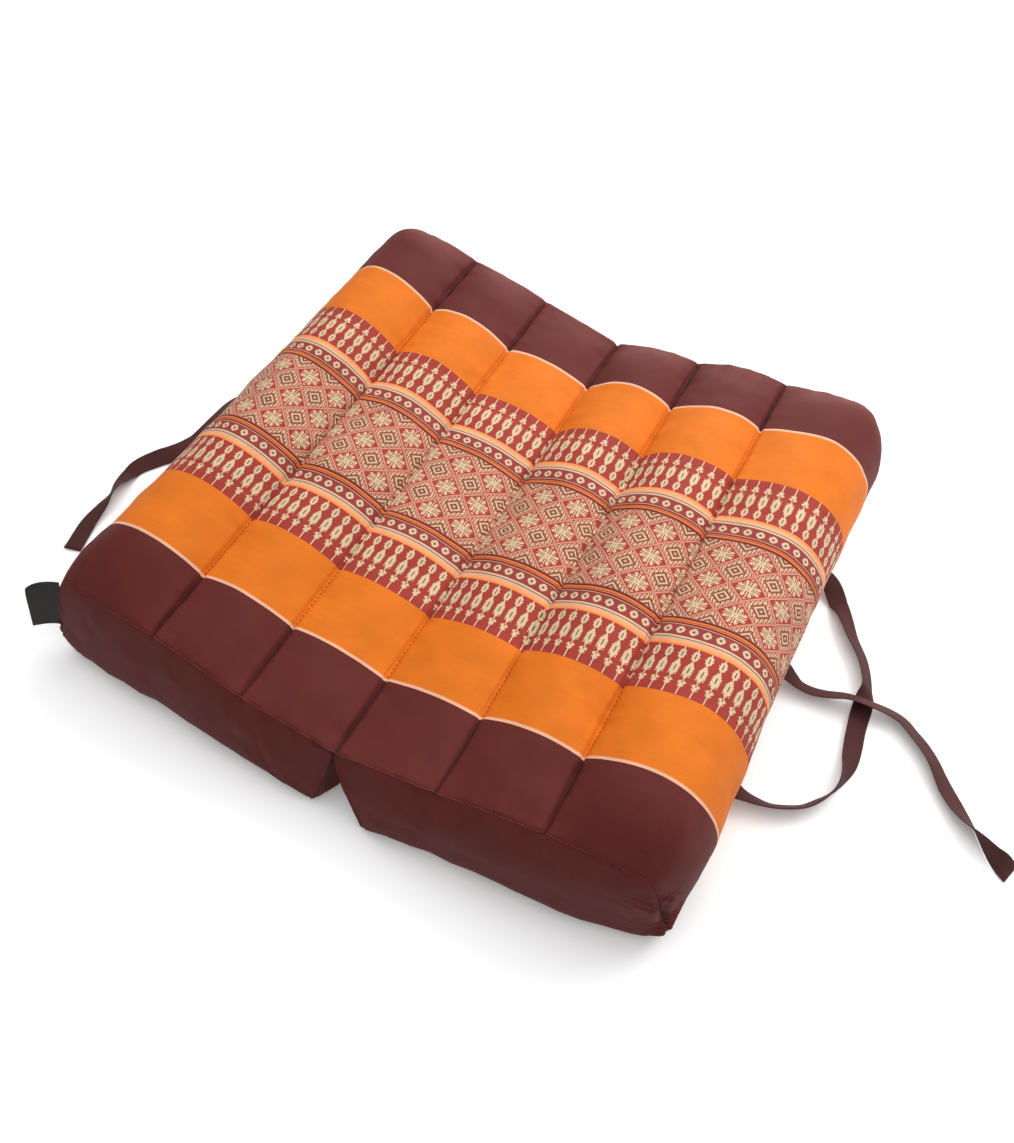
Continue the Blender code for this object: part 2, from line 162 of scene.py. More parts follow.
# Corner seams of the end panels, where their gathers fan out
Corner = namedtuple("Corner", "foot_across top_across foot_along top_along depth")
CORNERS = (
    Corner(0.2052, 0.1887, -0.180, -0.180, 0.0020),
    Corner(-0.2150, -0.2060, -0.192, -0.177, 0.0010),
    Corner(0.1995, 0.1895, 0.192, 0.190, 0.0012),
    Corner(-0.1965, -0.1875, 0.209, 0.207, 0.0010),
)
DEEPEST_GATHER = max(corner.depth for corner in CORNERS)
FAN_LENGTH = 0.0056
FAN_SPREAD = 0.35
FAN_REACH = 0.0085
FAN_LOW = 0.005
FAN_HIGH = 0.056
FAN_FADE = 0.010
FAN_CREASE = 0.8
FAN_LIMIT = 5 * FAN_REACH
# Reach from a corner seam within which its gathers get painted shade
CORNER_SHADE_LIMIT = 2 * FAN_REACH

# Tapes: size, rest above the floor, mesh steps, and their hems and edges
TAPE_WIDTH = 0.0127
TAPE_THICKNESS = 0.0011
TAPE_REST = 0.0004
TAPE_STEPS_PER_POINT = 10
TAPE_COLUMNS = 16
TAPE_HEM = 0.70
TAPE_HEM_DEPTH = 0.45
TAPE_HEM_WIDTH = 0.09
TAPE_EDGE_POWER = 8
TAPE_EDGE = 0.15

# Routes of the tapes in millimetres and degrees: each point's across, along, lift and roll
MM = 0.001
TIE_RIGHT = (
    (200.6, 4, 9.5, 0), (204, 3.8, 7.5, 6), (208.5, 2.8, 3.5, 22), (214.5, 1.2, 0.6, 32),
    (223, 1, 0, 33), (232, 2, 1.6, 38), (242.5, 4.5, 4, 42), (250.5, 5.5, 4.6, 42),
    (258.5, 6.5, 3.6, 40), (269, 8, 1.4, 38), (278.5, 7, 0.2, 36), (286.5, 2, 0, 36),
    (294.5, -3.5, 0, 34), (302, -10.5, 0, 34), (308, -18, 0, 31), (314, -25, 0, 25),
    (321, -32, 0, 27), (327, -37.5, 0, 38), (333, -42.5, 0, 58), (339.5, -47.5, 0, 84),
    (346.5, -52.5, 0, 108), (352.5, -55, 0, 140), (359, -57.2, 0, 172),
)
HANDLE = (
    (201.5, 84.7, 9.5, 0), (204.6, 84.4, 8, 0), (209.8, 81.5, 4.2, -8), (216.5, 74.7, 1.2, -3),
    (224, 65.5, 0, 24), (233, 51.5, 0, 37), (243, 39, 0, 42), (249, 28, 0, 46),
    (252.5, 18.5, 0, 46), (253.8, 11.5, 0, 18), (254.3, 4, 0, 9), (254.7, -4, 0, 14),
    (255.5, -12, 0, 17), (257, -22.5, 0, 17), (258.2, -34.5, 0, 31), (257.8, -48, 0, 70),
    (255.3, -58.5, 0, 95), (250.3, -67, 0, 112), (244, -74.8, 0, 118), (236, -80, 0, 122),
    (226.2, -84, 0, 125), (217, -85.2, 0.4, 136), (210, -86.2, 3.5, 148), (205.2, -86.6, 7, 164),
    (201.3, -86.8, 9.5, 180),
)
TIE_LEFT = (
    (-202.3, 45, 9.5, 0), (-208, 45.2, 5, 0), (-219, 48, 1, -4), (-232, 48, 0, -14),
    (-243, 43.5, 0, -28), (-248.8, 33, 0, -32), (-250, 16, 0, -26), (-250, -1, 0, -8),
    (-251.5, -19, 0, 15), (-256, -30.5, 0, 27), (-262, -38.5, 0, 26), (-271.2, -53, 0, 8),
    (-271.2, -68.5, 0, -24), (-268.5, -80, 0, -52), (-268, -92, 0, -26), (-267.5, -108.5, 0, -6),
    (-262.2, -131, 0, 2),
)

# Label: its four corners, and its cloth before folding
LABEL_SEWN_TOP = Vector((-0.2054, -0.1782, 0.0583))
LABEL_SEWN_FOOT = Vector((-0.2094, -0.1868, 0.0213))
LABEL_FREE_TOP = Vector((-0.2250, -0.1890, 0.0560))
LABEL_FREE_FOOT = Vector((-0.2285, -0.1960, 0.0185))
LABEL_CURL = 0.0016
LABEL_ROUNDING = 0.0035
LABEL_ROUNDING_OUT = 6
LABEL_ROUNDING_UP = 3
LABEL_TURN_STEPS = 6
LABEL_COLUMNS = 16
LABEL_ROWS = 20
LABEL_FOLD_START = 0.96
LABEL_LAYER_GAP = 0.0004
LABEL_LAYER_THICKNESS = 0.0003
LABEL_FLAT = (0.0378, 0.0400)

# Floor, surroundings and soft light
WHITE = (1.0, 1.0, 1.0, 1.0)
FLOOR_REACH = 3.0
FLOOR_WHITE = (0.94, 0.94, 0.94)
FLOOR_GLOW = 0.15
FLOOR_GRAIN = 0.004
BACKDROP_SHADE = (0.02, 0.02, 0.02)
BACKDROP_GLOW = 0.84
BACKDROP_GRAIN = 0.5
BACKDROP_RINGS = 32
PAPER_VARIATION = 0.02
WORLD_STRENGTH = 0.05
Lamp = namedtuple("Lamp", "name kind x y z spread strength")
LAMPS = (
    Lamp("top_sky", "SUN", -0.10, 0.00, 1.00, math.radians(90), 1.75),
    Lamp("rear_sky", "SUN", -0.25, 0.50, 0.85, math.radians(60), 0.95),
    Lamp("side_sky", "SUN", 0.70, 0.20, 0.70, math.radians(60), 0.45),
    Lamp("rear_box", "AREA", 0.55, 0.55, 0.60, 0.5, 4.2),
    Lamp("low_box", "AREA", -0.05, 0.85, 0.30, 0.5, 4.4),
)

# Sewn and padded relief: depth or height of each form, how far it reaches, and its noise's seed
NOISE_GAIN = 1.6
SEED_PLACES = (7.31, 1.7)
STITCH_DEPTH = 0.0019
STITCH_REACH = 0.0014
SEAM_DEPTH = 0.0008
SEAM_REACH = 0.0011
PUCKER_HEIGHT = 0.0007
PUCKER_LENGTH = 0.0055
PUCKER_REACH = 0.0075
PUCKER_HELD = 0.8
PUCKER_END = 0.005
PUCKER_SEED = 4.0
GATHER_HEIGHT = 0.0009
GATHER_LENGTH = 0.0080
GATHER_REACH = 0.0110
GATHER_SEED = 3.0
LUMP_HEIGHT = 0.0011
LUMP_LENGTH = 0.034
LUMP_SEED = 9.0
WRINKLE_HEIGHT = 0.00045
WRINKLE_LENGTH = 0.012
PANEL_LUMPS = 0.4
PANEL_WRINKLES = 2.0
PANEL_HOLLOW = 0.0010
PANEL_HOLLOW_REACH = 0.0100
PANEL_HOLLOW_END = 0.010
PANEL_HOLLOW_LOW = 0.02
RIDGE_HEIGHT = 0.0010
RIDGE_PLACE = 0.0024
RIDGE_REACH = 0.0009
PLEAT_HEIGHT = 0.0016
PLEAT_LENGTH = 0.007
PLEAT_REACH = 0.022
PLEAT_SEED = 5.0
FOOT_SETTLE = 0.006

# Threads: sides, size at the ends, and each row's stitches
STITCH_SIDES = 6
STITCH_TAPER = 0.45
Stitch = namedtuple("Stitch", "pitch length radius rise")
LINE_STITCH = Stitch(0.0031, 0.0017, 0.00030, 0.0001)
SEAM_STITCH = Stitch(0.0022, 0.0018, 0.00026, 0.0003)

# Woven cover: its cells, where each charted strip lies, and its stripes from the middle out
CELL = 0.000735
FIELD_REACH = 0.0320
FIGURE_PERIOD = 11
FIGURE_FIRST_ROW = 72
BORDER_INNER = 0.0531
BORDER_OUTER = 0.0860
DIAMOND_ROW = 57
DIAMOND_INNER = 0.0386
DIAMOND_OUTER = 0.0462
STRIPE_SPAN = 0.160
Stripe = namedtuple("Stripe", "reach colour")
STRIPES = [Stripe(*row) for row in (
    (0.0320, "brick"),
    (0.0333, "wine"),
    (0.0346, "tangerine"),
    (0.0352, "rust"),
    (0.0362, "tangerine"),
    (0.0371, "wine"),
    (0.0378, "blush"),
    (0.0386, "wine"),
    (0.0462, "garnet"),
    (0.0469, "cream"),
    (0.0479, "umber"),
    (0.0492, "shell"),
    (0.0512, "peach"),
    (0.0522, "apricot"),
    (0.0531, "tangerine"),
    (0.0860, "crimson"),
    (0.1342, "orange"),
    (0.1360, "pearl"),
    (0.1600, "maroon"),
)]
THREADS = {
    "c": "cream",
    "s": "shell",
    "k": "umber",
    "b": "sienna",
    "p": "rose",
    "o": "olive",
    ".": "crimson",
    "g": "garnet",
}

# Lattice of the field: its cells, and a quarter flower by row from its centre
FIELD_CELL_ACROSS = 0.000758
FIELD_CELL_ALONG = 0.000666
HALF_REPEAT = 16
FLOWER = """
oocccccccs
occbbbb
ccccccccs
cbccbccccs
cbcbcbbcs
cbccbsb
cbccbb
cbccc
c.scs
s..s
.
ss
s
""".split()
OUTLINE_START = 15
OUTLINE_END = 17
RINGS = "ssbkbccbb"
TEETH = ("bsccssb", "bsssbbb", "bbbbbsb")

# Right half of one border figure, from its tip by the field out to its stem
FIGURE = """
c.....
c.....
c.....
cc....
ccc...
.cc...
kcc...
kccc..
kcc...
kcc...
ccc...
cc....
c.....
c.....
cc....
cc....
ccc...
ccc...
occc..
kccc..
kcco..
kccc..
kcco..
kccc..
occc..
cccc..
ccc...
cc.c..
cc....
c.....
c.....
c.....
.cc...
kccc..
ccc...
cc....
ccc...
cc....
c.....
c.....
c.....
c.....
c.....
c.....
c.....
""".split()

# Quarter of one small diamond between the orange stripes
DIAMOND = """
kkccgg
kcccgg
cccggg
ccgggg
gggggg
""".split()

# Colours of the yarns and cloths
COLOURS = {
    "maroon": (0.115, 0.0168, 0.0140),
    "wine": (0.120, 0.016, 0.014),
    "garnet": (0.290, 0.040, 0.036),
    "crimson": (0.335, 0.038, 0.027),
    "brick": (0.270, 0.060, 0.040),
    "rust": (0.300, 0.050, 0.018),
    "orange": (0.690, 0.162, 0.008),
    "tangerine": (0.700, 0.175, 0.045),
    "apricot": (0.850, 0.300, 0.090),
    "peach": (0.800, 0.350, 0.160),
    "pearl": (0.790, 0.430, 0.275),
    "blush": (0.640, 0.290, 0.210),
    "shell": (0.660, 0.400, 0.270),
    "rose": (0.670, 0.270, 0.180),
    "cream": (0.655, 0.485, 0.310),
    "olive": (0.440, 0.330, 0.170),
    "umber": (0.120, 0.050, 0.026),
    "sienna": (0.250, 0.066, 0.037),
}
TAPE_COLOUR = (0.070, 0.021, 0.019)
THREAD_COLOUR = (0.080, 0.010, 0.006)
SEAM_THREAD = (0.230, 0.050, 0.040)
LABEL_COLOUR = (0.046, 0.041, 0.038)

# Surfaces: shine, wear, relief and pitch of the weaves, and the noise of uneven dye and fibres
CLOTH_SHINE = 0.2
CLOTH_ROUGHNESS = 0.7
FIBRE_ROUGHNESS = 0.8
COVER_WEAR = 0.35
PLAIN_WEAR = 0.4
COVER_BUMP = 0.00006
PLAIN_BUMP = 0.00008
PANEL_WEAVE = 0.0008
TAPE_WEAVE = 0.0007
LABEL_WEAVE = 0.0004
THREAD_FIBRE = 0.0008
THREAD_VARIATION = 0.5
STREAKS_ACROSS = 18.0
STREAKS_ALONG = 900.0
STREAK_DETAIL = 2.0
STREAK_SHARE = 0.5
PATCHES = 45.0
FINE_DETAIL = 3.0
MIDDLE_TONE = 0.75

# Sockets of a colour mix node: its factor, both colours and the result
MIX_INPUTS = (0, 6, 7)
MIX_RESULT = 2

# Painted shade in the deep lines, by the distance from them that each point holds
GAP_LAYER = "line_gap"
LINE_SHADE = 0.25
LINE_SHADE_REACH = 0.0014

# What lies near a point: its zone, the nearest stitch line, and the gaps to the seams
NO_SEAM = 1.0
Spot = namedtuple("Spot", "zone line line_gap end_gap fold_gap")


def lerp(a, b, share):
    return a + (b - a) * share


def between_lines(lines, across, column):
    """Value of one column of the stitch lines; past the last line the seam curves round."""
    for near, far in zip(lines, lines[1:]):
        if across <= far.across:
            share = max(0.0, (across - near.across) / (far.across - near.across))
            eased = share ** CORNER_EASE if far is lines[-1] else share
            return lerp(getattr(near, column), getattr(far, column), eased)
    return getattr(lines[-1], column)


def superellipse(share, squareness):
    """Unit quarter arc: runs from (0, 1) to (1, 0) as share goes from 0 to 1."""
    angle = share * math.pi / 2
    power = 2 / squareness
    return math.sin(angle) ** power, max(0.0, math.cos(angle)) ** power


def arch(share):
    return 4 * share * (1 - share)


def wall_reach(wall, share, swell):
    seam = wall.front_seam if share < 0.5 else wall.back_seam
    full = lerp(wall.front_full, wall.back_full, share) - wall.waist * arch(share)
    return lerp(seam, full, swell)


def tube_crown(tube, share, swell):
    seam = tube.front_seam if share < 0.5 else tube.back_seam
    bow = tube.middle - (tube.front + tube.back) / 2
    full = lerp(tube.front, tube.back, share) + bow * arch(share)
    return lerp(seam, full, swell)


def cross_shape(wall, share, swell):
    lean = wall.front_lean if share < 0.5 else wall.back_lean
    shoulder = lerp(SEAM_SHOULDER, FULL_SHOULDER, swell)
    return Shape(lean * (1 - swell), shoulder, lerp(SEAM_TOE, FULL_TOE, swell))


def shoulder_point(crown, shape, wall, share):
    out, up = superellipse(share, shape.shoulder)
    height = WALL_HEIGHT + (SEAM_HEIGHT + crown - WALL_HEIGHT) * up
    leaning = wall - shape.lean * height / SEAM_HEIGHT
    return CREST_ACROSS + (leaning - CREST_ACROSS) * out, height


def toe_point(shape, wall, share):
    down, out = superellipse(share, shape.toe)
    height = WALL_HEIGHT * (1 - down)
    leaning = wall - shape.lean * height / SEAM_HEIGHT
    return BASE_EDGE + (leaning - BASE_EDGE) * out, height


def foot_point(half, share):
    back, up = superellipse(share, ROUND)
    return half.foot_across + INNER_FOOT_RADIUS * (1 - back), INNER_FOOT_RADIUS * (1 - up)


def gathered(step, steps):
    """Share of a tube, with its steps closer together towards the stitches."""
    share = step / steps
    return lerp(share, 0.5 * (1 - math.cos(math.pi * share)), STITCH_CROWDING)


def top_run(half, crowns, shape, wall):
    run = []
    for near, far, crown in zip(half.lines, half.lines[1:], crowns[:2]):
        for step in range(TUBE_STEPS):
            share = gathered(step, TUBE_STEPS)
            height = lerp(near.height, far.height, share) + crown * arch(share)
            run.append((lerp(near.across, far.across, share), height))
    last = half.lines[2]
    for step in range(CREST_STEPS):
        share = (step / CREST_STEPS) ** CREST_CROWDING
        rise = math.sin(share * math.pi / 2) ** CREST_FULLNESS
        run.append((lerp(last.across, CREST_ACROSS, share), last.height + crowns[2] * rise))
    for step in range(SHOULDER_STEPS):
        run.append(shoulder_point(crowns[2], shape, wall, 0.5 * step / SHOULDER_STEPS))
    return run


def wall_run(crown, shape, wall):
    halves = [0.5 * step / WALL_STEPS for step in range(WALL_STEPS)]
    upper = [shoulder_point(crown, shape, wall, 0.5 + half) for half in halves]
    return upper + [toe_point(shape, wall, half) for half in halves]


def base_run(half, shape, wall):
    shares = [0.5 * step / FOOT_STEPS for step in range(FOOT_STEPS)]
    toe = [toe_point(shape, wall, 0.5 + share) for share in shares]
    inner_edge = half.foot_across + INNER_FOOT_RADIUS
    floor = [(lerp(BASE_EDGE, inner_edge, s / FLOOR_STEPS), 0.0) for s in range(FLOOR_STEPS)]
    return toe + floor + [foot_point(half, share) for share in shares]


def inner_run(half):
    heel = [foot_point(half, 0.5 + 0.5 * step / HEEL_STEPS) for step in range(HEEL_STEPS)]
    apex = half.lines[0].height - HINGE_THICKNESS
    wall = []
    for step in range(INNER_STEPS + 1):
        share = step / INNER_STEPS
        across = half.foot_across * (1 - share) ** INNER_WALL_BOW
        wall.append((across, lerp(INNER_FOOT_RADIUS, apex, share)))
    return heel + wall


def outline(half, share, swell, lift):
    """Cross-section of one half as four runs of (across, height), round from the fold."""
    shape = cross_shape(half.wall, share, swell)
    wall = wall_reach(half.wall, share, swell)
    crowns = [tube_crown(tube, share, swell) for tube in half.tubes]
    runs = [top_run(half, crowns, shape, wall), wall_run(crowns[2], shape, wall)]
    runs += [base_run(half, shape, wall), inner_run(half)]
    return [[(x, z + lift * max(0.0, 1 - z / SEAM_HEIGHT)) for x, z in run] for run in runs]


def end_reach(half, across, height, end):
    """Distance along of the end seam, from its top edge to its foot."""
    top = between_lines(half.lines, across, end + "_top")
    foot = between_lines(half.lines, across, end + "_foot")
    crown_height = between_lines(half.lines, across, "height")
    return lerp(foot, top, min(1.0, height / crown_height))


def section(half, seam_points, share):
    """One cross-section of a half, from the top of the fold round to the hinge under it."""
    from_end = PAD_LENGTH * min(share, 1 - share)
    swell_run = FRONT_SWELL_RUN if share < 0.5 else BACK_SWELL_RUN
    swell = 1 - (1 - min(1.0, from_end / swell_run)) ** SWELL_POWER
    lift = BASE_LIFT * max(0.0, 1 - from_end / LIFT_RUN) ** 2
    foot = lerp(half.foot_across, half.inner_foot, min(1.0, from_end / FOOT_RUN))
    half = half._replace(foot_across=foot)
    points = [point for run in outline(half, share, swell, lift) for point in run]
    loop = []
    for (across, height), (seam_across, seam_height) in zip(points, seam_points):
        front = end_reach(half, seam_across, seam_height, "front")
        back = end_reach(half, seam_across, seam_height, "back")
        loop.append(Vector((half.side * across, lerp(front, back, share), height)))
    return loop


def ring(share, seam_points):
    """Closed loop across both halves: out over the right one and back over the left one."""
    right = section(RIGHT, seam_points[RIGHT.side], share)
    left = section(LEFT, seam_points[LEFT.side], share)
    for index in (0, -1):
        right[index].y = 0.5 * (right[index].y + left[index].y)
    return right + left[-2:0:-1]


def section_shares():
    """Shares of the length, close together by the end seams and evenly spaced between."""
    places = [0.0]
    spacing = FIRST_SPACING
    while spacing < FULL_SPACING:
        places.append(places[-1] + spacing)
        spacing *= SPACING_GROWTH
    middle = PAD_LENGTH - 2 * places[-1]
    count = round(middle / FULL_SPACING)
    even = [places[-1] + middle * step / count for step in range(1, count)]
    mirrored = [PAD_LENGTH - place for place in places[::-1]]
    return [place / PAD_LENGTH for place in places + even + mirrored]


def end_panel_point(rim, counts, p, q, outward):
    """Coons patch inside the end seam: p runs out from the fold, q down from the top edge."""
    top, wall, base = counts
    u = p / top
    v = q / wall
    far = top + wall + base
    lower = rim[far - round(p * base / top)]
    outer, inner = rim[top + q], rim[(len(rim) - q) % len(rim)]
    flat = rim[p] * (1 - v) + lower * v + inner * (1 - u) + outer * u
    flat -= rim[0] * (1 - u) * (1 - v) + rim[top] * u * (1 - v)
    flat -= rim[far] * (1 - u) * v + rim[top + wall] * u * v
    rounding = lerp(PANEL_INNER_POWER, PANEL_OUTER_POWER, min(1.0, 2 * u))
    bulge = END_BULGE * math.sin(math.pi * u) ** rounding
    bulge *= math.sin(math.pi * v ** BULGE_DROP) ** BULGE_FULLNESS
    return flat + Vector((0, outward * bulge, 0))


def panel_spot(half, point, rim, seams):
    """What lies near a point of an end panel: the stitch lines above it, and the seams."""
    line_gap = min(abs(abs(point.x) - line.across) for line in half.lines[1:3])
    seam_gaps = [(point - rim[seam]).length for seam in seams]
    return Spot("panel", 0, line_gap, min(seam_gaps), seam_gaps[-1])


def add_end_panel(bm, spots, half, rim_verts, counts, outward):
    """Bulging panel over one end of a half; its lower edge has fewer points than its top."""
    top, wall, base = counts
    rim = [vert.co.copy() for vert in rim_verts]
    grid = {}
    for p in range(top + 1):
        grid[p, 0] = rim_verts[p]
        grid[p, wall] = rim_verts[top + wall + base - round(p * base / top)]
    for q in range(1, wall):
        grid[0, q] = rim_verts[len(rim_verts) - q]
        grid[top, q] = rim_verts[top + q]
        for p in range(1, top):
            grid[p, q] = bm.verts.new(end_panel_point(rim, counts, p, q, outward))
            seams = (p, top + q, len(rim) - q)
            spots.append(panel_spot(half, grid[p, q].co, rim, seams))
    for p in range(top):
        for q in range(wall):
            corners = [grid[p, q], grid[p, q + 1], grid[p + 1, q + 1], grid[p + 1, q]]
            corners = list(dict.fromkeys(corners))
            if len(corners) > 2:
                face = bm.faces.new(corners[::-1] if outward * half.side > 0 else corners)
                lay_flat(face, bm.loops.layers.uv.active, "x", "z")
                face.material_index = 1


def lay_flat(face, uv_layer, across, along):
    """Cloth coordinates of a plain panel, straight from two of its axes."""
    for corner in face.loops:
        point = corner.vert.co
        corner[uv_layer].uv = (getattr(point, across), getattr(point, along))


def cover_lengths(points, counts):
    """Cloth length beyond the inner stitch line at the start and end of each segment."""
    top, wall, base = counts
    lengths = []
    run = 0.0
    for index in range(top + wall + FOOT_STEPS):
        if index in (TUBE_STEPS, 2 * TUBE_STEPS):
            run = 0.0
        near, far = points[index], points[index + 1]
        step = math.hypot(far.x - near.x, far.z - near.z)
        lengths.append((run, run + step))
        run += step
    return lengths


def cover_places(points, counts, cloth, full_lengths):
    """Place across the woven cloth of each segment's two ends, in metres from a flower."""
    lengths = cover_lengths(points, counts)
    places = []
    for index, (start, end) in enumerate(lengths):
        tube = min(2, index // TUBE_STEPS)
        flower, scale = cloth[tube]
        if tube < 2:
            last = (tube + 1) * TUBE_STEPS - 1
            scale *= full_lengths[last][1] / lengths[last][1]
        places.append((start * scale - flower, end * scale - flower))
    return places


def ring_spots(points, counts, end_gap):
    """What lies near each point of a half's cross-section."""
    top, wall, base = counts
    lengths = cover_lengths(points, counts)
    spots = []
    for index in range(len(points)):
        if index < len(lengths):
            start = lengths[index][0]
            tube = min(2, index // TUBE_STEPS)
            last = lengths[(tube + 1) * TUBE_STEPS - 1][1] if tube < 2 else NO_SEAM
            nearer = tube if start < last / 2 else tube + 1
            spots.append(Spot("cover", nearer, min(start, last - start), end_gap, NO_SEAM))
        else:
            zone = "base" if index < top + wall + base else "inner"
            spots.append(Spot(zone, 0, NO_SEAM, end_gap, NO_SEAM))
    return spots


def waves(place, length, seed):
    """Smooth irregular waves, from -1 to 1, along one direction."""
    across, up = SEED_PLACES
    return NOISE_GAIN * noise.noise(Vector((place / length, seed * across, seed * up)))


def closeness(gap, reach):
    """Falls smoothly from 1 at no gap to nothing well beyond the reach."""
    return math.exp(-(gap / reach) ** 2)


def corner_reach(corner, point):
    """Level distance of a point from the line of a corner seam."""
    height = min(1.0, point.z / SEAM_HEIGHT)
    across = point.x - lerp(corner.foot_across, corner.top_across, height)
    along = point.y - lerp(corner.foot_along, corner.top_along, height)
    return math.hypot(across, along)


def gathered_share(point):
    """How strongly a corner seam is gathered at a height, from 0 to 1."""
    return max(0.0, min(1.0, (point.z - FAN_LOW) / FAN_FADE, (FAN_HIGH - point.z) / FAN_FADE))


def shade_gap(point, spot):
    """Distance from the nearest deep line that gets painted shade: stitches on the cover, or a
    gathered corner seam.
    """
    gap = spot.line_gap if spot.zone == "cover" else NO_SEAM
    for corner in CORNERS:
        if spot.zone in ("cover", "panel") and corner_reach(corner, point) < CORNER_SHADE_LIMIT:
            shallow = 1 - gathered_share(point) * corner.depth / DEEPEST_GATHER
            gap = min(gap, spot.end_gap + shallow * LINE_SHADE_REACH)
    return gap


def corner_fan(point, gap):
    """Fan of gathers across the nearest corner seam, seen on both sides of it."""
    at_seam = closeness(gap, SEAM_REACH)
    total = 0.0
    for corner in CORNERS:
        reach = corner_reach(corner, point)
        if reach < FAN_LIMIT:
            turn = 2 * math.pi * (point.z - FAN_SPREAD * reach) / FAN_LENGTH
            folds = math.sin(turn) * math.exp(-reach / FAN_REACH) * (1 - at_seam)
            total += corner.depth * (folds - FAN_CREASE * at_seam) * gathered_share(point)
    return total


def relief(point, spot, side):
    """How far the padded and sewn cloth stands out from its plain form."""
    if spot.zone == "base":
        return 0.0
    at_seam = closeness(spot.end_gap, SEAM_REACH)
    crease = SEAM_DEPTH * at_seam
    wrinkle = WRINKLE_HEIGHT * noise.noise(point / WRINKLE_LENGTH)
    if spot.zone == "inner":
        pleat = PLEAT_HEIGHT * waves(point.y, PLEAT_LENGTH, PLEAT_SEED * side)
        pleat *= arch(point.z / SEAM_HEIGHT) * math.exp(-spot.end_gap / PLEAT_REACH)
        return wrinkle + pleat - crease
    lump = LUMP_HEIGHT * noise.noise(point / LUMP_LENGTH + Vector((side * LUMP_SEED, 0, 0)))
    gather = GATHER_HEIGHT * waves(point.x, GATHER_LENGTH, GATHER_SEED * side)
    gather *= math.exp(-spot.end_gap / GATHER_REACH) * (1 - at_seam)
    sewn = gather + corner_fan(point, spot.end_gap) - crease
    if spot.zone == "panel":
        hollow = PANEL_HOLLOW * closeness(spot.line_gap, PANEL_HOLLOW_REACH)
        hollow *= min(1.0, spot.end_gap / PANEL_HOLLOW_END) * min(1.0, point.z / PANEL_HOLLOW_LOW)
        ridge = RIDGE_HEIGHT * closeness(spot.fold_gap - RIDGE_PLACE, RIDGE_REACH)
        return PANEL_LUMPS * lump + PANEL_WRINKLES * wrinkle + sewn + ridge - hollow
    at_line = closeness(spot.line_gap, STITCH_REACH)
    pucker = PUCKER_HEIGHT * math.exp(-spot.line_gap / PUCKER_REACH)
    pucker *= waves(point.y, PUCKER_LENGTH, spot.line + PUCKER_SEED * side)
    pucker *= (1 - PUCKER_HELD * at_line) * (1 - closeness(spot.end_gap, PUCKER_END))
    return lump + wrinkle + sewn + pucker - STITCH_DEPTH * at_line


def swell_cloth(bm, spots):
    bm.normal_update()
    moves = []
    for vert, spot in zip(bm.verts, spots):
        side = 1.0 if vert.co.x >= 0 else -1.0
        settled = min(1.0, max(0.0, vert.co.z / FOOT_SETTLE))
        moves.append(vert.normal * relief(vert.co, spot, side) * settled)
    gap_layer = bm.verts.layers.float[GAP_LAYER]
    for vert, spot, move in zip(bm.verts, spots, moves):
        vert.co += move
        vert.co.z = max(0.0, vert.co.z)
        vert[gap_layer] = shade_gap(vert.co, spot)


def add_strip(bm, first, second, counts, places):
    """Faces between two cross-sections; the woven cover runs over the top and outer walls."""
    uv_layer = bm.loops.layers.uv.active
    cover = len(places[0][RIGHT.side])
    for index in range(len(first)):
        after = (index + 1) % len(first)
        face = bm.faces.new([first[index], first[after], second[after], second[index]])
        left_index = len(first) - 1 - index
        side = RIGHT.side if index < cover else LEFT.side
        segment = index if side == RIGHT.side else left_index
        if segment < cover:
            near, far = places[0][side][segment], places[1][side][segment]
            if side == LEFT.side:
                near, far = near[::-1], far[::-1]
            corners = (near[0], near[1], far[1], far[0])
            for corner, across in zip(face.loops, corners):
                corner[uv_layer].uv = (across, corner.vert.co.y)
            face.material_index = 0
        else:
            under = segment < sum(counts)
            lay_flat(face, uv_layer, "x" if under else "y", "y" if under else "z")
            face.material_index = 1


def left_part(loop, around):
    """The left half's part of a ring, round from the fold as the right half's part is."""
    return [loop[0]] + loop[:around - 2:-1]


def add_sections(bm, seam_points, counts):
    """Rings of points from front to back, what lies near each point, and places on the cloth."""
    around = len(seam_points[RIGHT.side])
    full = {}
    for half in HALVES:
        full[half.side] = cover_lengths(section(half, seam_points[half.side], 0.5), counts)
    loops = []
    spots = []
    places = []
    for share in section_shares():
        points = ring(share, seam_points)
        parts = {RIGHT.side: points[:around], LEFT.side: left_part(points, around)}
        end_gap = PAD_LENGTH * min(share, 1 - share)
        places.append({half.side: cover_places(parts[half.side], counts, half.cloth, full[half.side])
                       for half in HALVES})
        near = {side: ring_spots(parts[side], counts, end_gap) for side in parts}
        spots += near[RIGHT.side] + near[LEFT.side][-2:0:-1]
        loops.append([bm.verts.new(point) for point in points])
    return loops, spots, places


